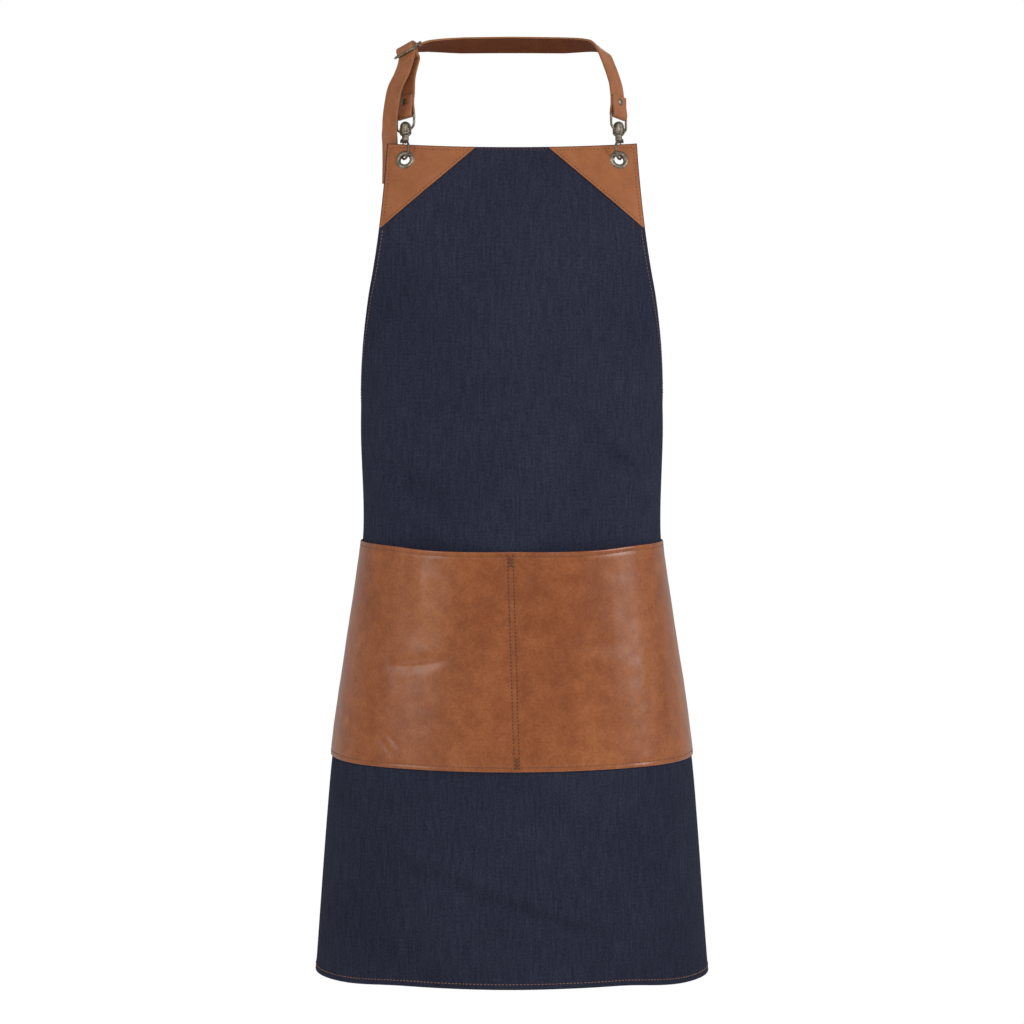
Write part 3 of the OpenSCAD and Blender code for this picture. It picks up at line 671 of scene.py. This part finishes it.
def stitches(name, runs, mat, radius, pitch=3.7, length=2.7, back=False):
    """Rows of stitches, each a short arched tube.

    Runs are (polyline of cloth coordinates, function giving the surface's offset there)."""
    verts, faces, base = [], [], 0
    ring, along = 6, 5
    angle = np.arange(ring) * 2 * math.pi / ring
    for path, off in runs:
        path = np.asarray(path, float)
        p3 = laid(path[:, 0], path[:, 1], off(path[:, 0], path[:, 1]))
        run = np.concatenate([[0], np.cumsum(np.linalg.norm(np.diff(p3, axis=0), axis=1))])
        n = max(1, int(run[-1] / pitch))
        step = run[-1] / n
        mid = (np.arange(n) + 0.5) * step + rng.normal(0, 0.08, n)
        u = np.linspace(-0.5, 0.5, along)
        at = mid[:, None] + u[None] * length * step / pitch
        ss, tt = np.interp(at, run, path[:, 0]), np.interp(at, run, path[:, 1])
        rise = radius * np.array([-0.9, 0.45, 0.75, 0.45, -0.9])
        sign = -1 if back else 1
        centre = laid(ss, tt, off(ss, tt) + sign * rise[None])
        centre += rng.normal(0, 0.05, (n, 1, 3))
        d = centre[:, -1] - centre[:, 0]
        d /= np.linalg.norm(d, axis=1, keepdims=True)
        up = outward(ss[:, 2], tt[:, 2])
        wide = np.cross(d, up)
        wide /= np.linalg.norm(wide, axis=1, keepdims=True)
        up = np.cross(wide, d)
        r = radius * np.array([0.55, 0.95, 1.0, 0.95, 0.55])
        v = (centre[:, :, None] + r[None, :, None, None] * (
            np.cos(angle)[None, None, :, None] * wide[:, None, None]
            + 0.8 * np.sin(angle)[None, None, :, None] * up[:, None, None]))
        k, i, j = np.meshgrid(np.arange(n), np.arange(along - 1), np.arange(ring), indexing="ij")
        a = base + (k * along + i) * ring + j
        b = base + (k * along + i) * ring + (j + 1) % ring
        verts.append(v.reshape(-1, 3))
        faces.append(np.stack([a, b, b + ring, a + ring], -1).reshape(-1, 4))
        base += n * along * ring
    return make(name, np.concatenate(verts), np.concatenate(faces), [mat])


def line(a, b, n=60):
    """A straight path of n points in cloth coordinates."""
    return np.stack([np.linspace(a[0], b[0], n), np.linspace(a[1], b[1], n)], 1)


# The offset of the face that each row of stitches lies on.
def on_denim(s, t):
    return DENIM_T / 2 + denim_off(s, t)


def behind_hem(s, t):
    return denim_off(s, t) - DENIM_T / 2 - 0.78


def on_patch(s, t):
    return patch_off(s, t) + PATCH_T


def on_pocket(s, t):
    return pocket_off(s, t) + POCKET_T


INSET, BIB_INSET, PATCH_SEAM = 5.5, 4.2, 3.5
edge_t = np.linspace(PATCH_H + 1, APRON_LEN - 4, 260)
full_t = np.linspace(4, APRON_LEN - 4, 260)
above, below = edge_t[edge_t < POCKET_TOP - 1], edge_t[edge_t > POCKET_FOOT + 1]
side_runs, side_back, patch_runs = [], [], []
for k in (1, -1):
    for pt, inset in ((above, BIB_INSET), (below, INSET)):
        side_runs.append((np.stack([k * (half_w(pt) - inset), pt], 1), on_denim))
    side_back.append((np.stack([k * (half_w(full_t) - BIB_INSET), full_t], 1), behind_hem))
    pt = np.linspace(4, PATCH_H - 8, 40)
    patch_runs.append((np.stack([k * (half_w(pt) - 4.4), pt], 1), on_patch))
    top_half = half_w(PATCH_SEAM)
    patch_runs.append((line((k * (top_half - 5), PATCH_SEAM), (k * (top_half - 1 - PATCH_W + 7), PATCH_SEAM)),
                       on_patch))
    pt = np.linspace(4.5, PATCH_H - 8, 60)
    inner = half_w(pt) - 1 - patch_width(pt) + 2.6 * PATCH_SLANT / PATCH_H
    patch_runs.append((np.stack([k * inner, pt], 1), on_patch))
foot_t = APRON_LEN - INSET
foot = line((-(FULL_W / 2 - 5), foot_t), (FULL_W / 2 - 5, foot_t), 200)
bib_gap = half_w(3) - 1 - PATCH_W
bib_top = line((-bib_gap, 2.2), (bib_gap, 2.2))
seam_edges = stitches("seam_edges", side_runs, THREAD_TAN, radius=0.36)
seam_top = stitches("seam_top", [(bib_top, on_denim)], THREAD_PATCH, radius=0.26)
seam_hem = stitches("seam_hem", [(foot, on_denim)], THREAD_TAN, radius=0.42)
whole_top = line((-(BIB_W / 2 - 6), 3.2), (BIB_W / 2 - 6, 3.2))
seam_backs = stitches("seam_backs", side_back + [(foot, behind_hem), (whole_top, behind_hem)], THREAD_TAN,
                      radius=0.38, back=True)
seam_patches = stitches("seam_patches", patch_runs, THREAD_PATCH, radius=0.32)
px = FULL_W / 2 - 3
pocket_runs = [(line((-px, pt), (px, pt), 200), on_pocket)
               for pt in (POCKET_TOP + POCKET_SEAM, POCKET_FOOT - POCKET_SEAM)]
px = FULL_W / 2 - POCKET_SIDE_SEAM
pocket_runs += [(line((k * px, POCKET_TOP + 6), (k * px, POCKET_FOOT - 6)), on_pocket) for k in (1, -1)]
seam_pocket = stitches("seam_pocket", pocket_runs, THREAD_PATCH, radius=0.34)
centre_runs = []
for row in CENTRE_ROWS:
    ct = np.linspace(POCKET_TOP + 2, POCKET_FOOT - 2, 60)
    centre_runs.append((np.stack([centre_line(ct) + row, ct], 1), on_pocket))
seam_centre = stitches("seam_centre", centre_runs, THREAD_DARK, radius=0.44)
tack_runs = []
for low, high in ((POCKET_TOP + 5.5, POCKET_TOP + 15), (POCKET_FOOT - 14, POCKET_FOOT - 3)):
    for y in np.arange(low, high, 1.5):
        c = centre_line(y) - 0.5
        tack_runs.append((line((c - 2.6, y), (c + 2.6, y + 0.5), 6), on_pocket))
seam_tacks = stitches("seam_tacks", tack_runs, THREAD_DARK, pitch=5.2, length=5.0, radius=0.32)

# ---------------------------------------------------------------- straps
STRAP_W, STRAP_T, FOLD_L, WIRE_R = 20.0, 2.5, 20.0, 1.25
FOLD_R, LAYER = WIRE_R + 0.15 + STRAP_T / 2, STRAP_T / 2 + 0.15
HOOK_REACH, WIRE_DROP = 47.0, 1.6


def across(v, n):
    """The unit vector nearest to v that is square to n."""
    return unit(np.asarray(v, float) - np.dot(v, n) * np.asarray(n, float))


FRONT_BIB, FRONT_WAIST = PATCH_BASE + PATCH_T + 0.2, DENIM_T / 2 + 0.3
BACK_BIB, BACK_WAIST = -DENIM_T / 2 - 0.35, -DENIM_T / 2 - 0.85
LEAN, SLANT = math.radians(18), math.radians(12)
DOWN = {True: np.array([0, -math.sin(LEAN), -math.cos(LEAN)]),
        False: np.array([math.cos(SLANT), 0, math.sin(SLANT)])}
RIGHT_BAR_TURN, LEFT_BAR_TURN = math.radians(50), math.radians(42)
WAIST_SAG = 7.0


def bar_at(bib):
    """The middle of a right snap hook's bar, one hook's reach above the seat in its eyelet."""
    c, n = PLANES[0 if bib else 2]
    middle = (FRONT_BIB + BACK_BIB if bib else FRONT_WAIST + BACK_WAIST) / 2
    return c + middle * n - (WIRE_DROP + HOOK_REACH) * DOWN[bib]


def bar_dir(side, bib):
    """The direction of a snap hook's bar, as it would be on the right."""
    a = RIGHT_BAR_TURN if side > 0 else LEFT_BAR_TURN
    return across((math.cos(a), math.sin(a), 0) if bib else (0, 0, 1), DOWN[bib])


def put(side, v):
    """A vector of the right side, or its mirror image on the left."""
    return np.asarray(v) * ([-1, 1, 1] if side < 0 else [1, 1, 1])


def mix(a, b, u):
    return a * (1 - u) + b * u


def fold(c, w, up, n, length=FOLD_L):
    """Stations of a strap that comes down one side of a bar at c, turns round it and goes up the other."""
    out = [c + n * LAYER + up * length * k for k in (1, 0.75, 0.5)]
    out.append(c + n * mix(LAYER, FOLD_R, 0.75) + up * length * 0.2)
    out += [c + n * FOLD_R * math.cos(a) - up * FOLD_R * math.sin(a) for a in np.linspace(0, math.pi, 10)]
    out.append(c - n * mix(LAYER, FOLD_R, 0.75) + up * length * 0.2)
    out += [c - n * LAYER + up * length * k for k in (0.5, 0.75, 1)]
    return [(p, w) for p in out]


def flap(side, bib):
    """The fold round one snap hook's bar."""
    up = -DOWN[bib]
    n = np.cross(bar_dir(side, bib), up)
    return fold(put(side, bar_at(bib)), put(side, bar_dir(side, bib)), put(side, up), put(side, n))


def spline(st):
    """A smooth run through stations, each a place and the direction of the strap's width."""
    p = np.array([x[0] for x in st], float)
    w = np.array([x[1] for x in st], float)
    out_p, out_w = [], []
    for i in range(len(p) - 1):
        a, b, c, d = p[max(i - 1, 0)], p[i], p[i + 1], p[min(i + 2, len(p) - 1)]
        reach = np.linalg.norm(c - b) / 3
        h1, h2 = b + reach * unit(c - a), c - reach * unit(d - b)
        n = 6 if np.linalg.norm(c - b) > 3 else 2
        for k in range(n):
            u = k / n
            out_p.append(b * (1 - u) ** 3 + 3 * h1 * u * (1 - u) ** 2 + 3 * h2 * u * u * (1 - u) + c * u ** 3)
            out_w.append(mix(w[i], w[i + 1], u))
    out_p.append(p[-1])
    out_w.append(w[-1])
    return np.array(out_p), np.array(out_w)


# The inner kind of face carries the darker material that paints shade on the strap's inner side.
GRAIN, INNER_SHADE, EDGE = 0, 1, 2


def strap_section():
    """The strap's rounded section, and the kind of face that starts at each of its corners."""
    hw, ht, r = STRAP_W / 2, STRAP_T / 2, 0.6
    flat = np.linspace(-(hw - r), hw - r, 7)
    bends = [(r * math.sin(a), r * math.cos(a)) for a in np.linspace(0, math.pi / 2, 4)[1:-1]]
    right = [(hw - r + x, ht - r + y) for x, y in bends] + [(hw, ht - r), (hw, -ht + r)]
    right += [(hw - r + y, -ht + r - x) for x, y in bends]
    left = [(-x, -y) for x, y in right]
    section = [(u, ht) for u in flat] + right + [(u, -ht) for u in flat[::-1]] + left
    kind = [GRAIN] * len(flat) + [EDGE] * len(right) + [INNER_SHADE] * len(flat) + [EDGE] * len(left)
    return np.array(section), np.array(kind)


def strap(name, stations, shade_from=None, shade_to=None):
    """Sweeps a strap's rounded section along its stations: grain side, a darker matt inner side and pale cut
    edges.

    The inner side is darkened as painted shade from one station to another; elsewhere both faces have the
    grain."""
    p, w = spline(stations)
    tangent = np.gradient(p, axis=0)
    tangent /= np.linalg.norm(tangent, axis=1, keepdims=True)
    w = w - (w * tangent).sum(1, keepdims=True) * tangent
    w /= np.linalg.norm(w, axis=1, keepdims=True)
    n = np.cross(w, tangent)
    section, kind = strap_section()
    m, rows = len(section), len(p)
    verts = p[:, None] + section[None, :, :1] * w[:, None] + section[None, :, 1:] * n[:, None]
    i, j = np.meshgrid(np.arange(rows - 1), np.arange(m), indexing="ij")
    a, b = i * m + j, i * m + (j + 1) % m
    faces = np.stack([a, b, b + m, a + m], -1).reshape(-1, 4).tolist()
    first_end, last_end = np.arange(m)[::-1], (rows - 1) * m + np.arange(m)
    obj = mesh_object(name, verts.reshape(-1, 3), faces + [first_end.tolist(), last_end.tolist()],
                      (STRAP, STRAP_INNER_SHADE, CUT))
    index = np.tile(kind, (rows - 1, 1))
    plain = np.ones(rows - 1, bool)
    if shade_from is not None:
        first, last = (np.abs(p - np.asarray(q, float)).sum(1).argmin() for q in (shade_from, shade_to))
        plain[first:last] = False
    index[np.ix_(plain, kind == INNER_SHADE)] = GRAIN
    index = np.concatenate([index.ravel(), [EDGE, EDGE]]).astype(np.int32)
    obj.data.polygons.foreach_set("material_index", index)
    for end in obj.data.polygons[-2:]:
        end.use_smooth = False
    return obj


BUCKLE_AT = np.array([-107.6, -58, -7.5])
BX = unit([-0.80, 0.40, -0.42])
BY = across([-0.29, -0.90, -0.32], BX)
BZ = np.cross(BX, BY)
BDOWN = unit([0.45, -0.89])
OVER_R = FOLD_R + STRAP_T + 0.2
OX, OZ = -OVER_R * BDOWN[1], OVER_R * BDOWN[0]


def in_buckle(y, z):
    """A station of the strap inside the buckle, y along its frame and z out of its front."""
    return (BUCKLE_AT + y * BY + z * BZ, BX)


BACK_RUN = [((106, -67, -41), (0.64, 0.75, -0.16)), ((99, -59, -20), (0.67, 0.69, -0.27)),
            ((93, -49, -7), (0.74, 0.50, -0.46)), ((82, -28, -1), (0.40, 0.75, -0.54)),
            ((52, -8, 0), (0.12, 0.64, -0.76)), ((0, 0.98, 0.78), (0, 0.62, -0.78)),
            ((-52, -7, 0), (-0.12, 0.64, -0.76)), ((-84, -24, -1), (-0.40, 0.75, -0.54))]
TAIL = [((-112.5, -76, -31), (-0.80, 0.55, -0.20)), ((-119.5, -80, -46), (-0.74, 0.67, -0.05)),
        ((-123, -81, -62), (-0.72, 0.69, 0)), ((-125, -80.5, -78), (-0.72, 0.69, 0)),
        ((-125.4, -78.5, -91), (-0.72, 0.69, 0)), ((-125.5, -71.5, -104), (-0.74, 0.67, 0)),
        ((-125, -69, -122), (-0.80, 0.60, 0)), ((-125, -69, -144), (-0.84, 0.54, 0))]
through = [in_buckle(-20, -3.2), in_buckle(-12, -WIRE_R - STRAP_T / 2 - 0.3), in_buckle(-7.8, 0),
           in_buckle(-4, OVER_R * 0.8), in_buckle(0, OVER_R * 1.02), in_buckle(OX * 0.75, OZ + 1.6),
           in_buckle(OX, OZ), in_buckle(OX + 7 * BDOWN[0], OZ + 7 * BDOWN[1])]
long_strap = strap("neck_strap_long_leather", flap(1, True) + BACK_RUN + through + TAIL,
                   shade_from=BACK_RUN[0][0], shade_to=through[3][0])
buckle_up = BDOWN[0] * BY + BDOWN[1] * BZ
short_strap = strap("neck_strap_short_leather", fold(BUCKLE_AT, BX, buckle_up, np.cross(BX, buckle_up), 12)
                    + [((-107, -71, -36), (-0.78, 0.60, -0.12))] + flap(-1, True)[::-1])
waist_mid = (put(1, bar_at(False)) + put(-1, bar_at(False))) / 2 - np.array([0, 0, WAIST_SAG])
waist = strap("waist_strap_leather", flap(1, False) + [(waist_mid, (0, 0, 1))] + flap(-1, False)[::-1])

# ---------------------------------------------------------------- metal parts keep their CAD shape
for name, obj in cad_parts.items():
    if any(w in name for w in ("eyelet", "hook", "gate", "_eye", "buckle", "rivet")):
        obj.data.materials.clear()
        obj.data.materials.append(STEEL if "spring" in name else METAL)

# ---------------------------------------------------------------- where each piece belongs
APRON_PIECES = [denim_cloth, denim_hems, pocket_leather, patches["right"], patches["left"], seam_edges,
                seam_hem, seam_top, seam_backs, seam_patches, seam_pocket, seam_centre, seam_tacks]
for obj in APRON_PIECES:
    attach(obj, "apron")
for obj in (long_strap, short_strap):
    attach(obj, "neck_strap")
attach(waist, "waist_strap")
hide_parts("denim_panel")
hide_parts("pocket_panel")
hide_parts("right_corner_patch")
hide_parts("left_corner_patch")
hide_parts("neck_strap_long")
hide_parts("neck_strap_short")
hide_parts("waist_strap")

# ---------------------------------------------------------------- studio
FLOOR_HALF, FLOOR_Z = 1800.0, -1500.0
floor_mat, _, _, bsdf = material("studio_floor")
bsdf.inputs["Base Color"].default_value = (0.86, 0.86, 0.86, 1)
bsdf.inputs["Roughness"].default_value = 0.9
bsdf.inputs["Specular IOR Level"].default_value = 0.1
bsdf.inputs["Emission Color"].default_value = (1, 1, 1, 1)
bsdf.inputs["Emission Strength"].default_value = 0.25
corners = [(x * FLOOR_HALF, y * FLOOR_HALF, FLOOR_Z) for x, y in ((-1, -1), (1, -1), (1, 1), (-1, 1))]
make("studio_floor", corners, [(0, 1, 2, 3)], [floor_mat])

LIT_POINT = (0, -0.05, -0.52)


def area_light(name, azimuth, height, distance, size, watts):
    """A soft rectangle that looks at the middle of the apron.

    Azimuth 0 is the camera's side, and it is positive to the right."""
    data = bpy.data.lights.new(name, "AREA")
    data.shape, data.size, data.size_y = "RECTANGLE", size[0], size[1]
    data.energy = watts
    obj = bpy.data.objects.new(name, data)
    a = math.radians(azimuth)
    obj.location = (math.sin(a) * distance, -math.cos(a) * distance, height)
    d = np.array(LIT_POINT) - np.array(obj.location)
    obj.rotation_euler = (math.atan2(math.hypot(d[0], d[1]), -d[2]), 0, math.atan2(d[1], d[0]) - math.pi / 2)
    bpy.context.scene.collection.objects.link(obj)


area_light("soft_right", 63, 0.42, 2.6, (0.34, 2.2), 31)
area_light("soft_left", -46, 0.30, 2.8, (0.80, 2.2), 18)
area_light("soft_top", 2, 1.5, 3.0, (1.4, 1.2), 29)
area_light("soft_behind", 176, 1.2, 3.2, (1.8, 1.2), 16)

FILL = 0.42
world = bpy.data.worlds.new("studio")
world.use_nodes = True
k = Net(world.node_tree.nodes, world.node_tree.links)
backdrop = world.node_tree.nodes["Background"]
backdrop.inputs[0].default_value = (1, 1, 1, 1)
k.l.new(k.span(k.put("ShaderNodeLightPath").outputs["Is Camera Ray"], 0, 1, FILL, 1.0), backdrop.inputs[1])
bpy.context.scene.world = world
bpy.context.scene.view_settings.view_transform = "Standard"

LENS_MM, CAMERA_AT, CAMERA_TILT = 121.6, (0, -3.645, -0.166), 84.93
camera = bpy.data.cameras.new("camera")
camera.lens, camera.sensor_width = LENS_MM, 36
camera.clip_start, camera.clip_end = 0.1, 60
eye = bpy.data.objects.new("camera", camera)
eye.location = CAMERA_AT
eye.rotation_euler = (math.radians(CAMERA_TILT), 0, 0)
bpy.context.scene.collection.objects.link(eye)
bpy.context.scene.camera = eye
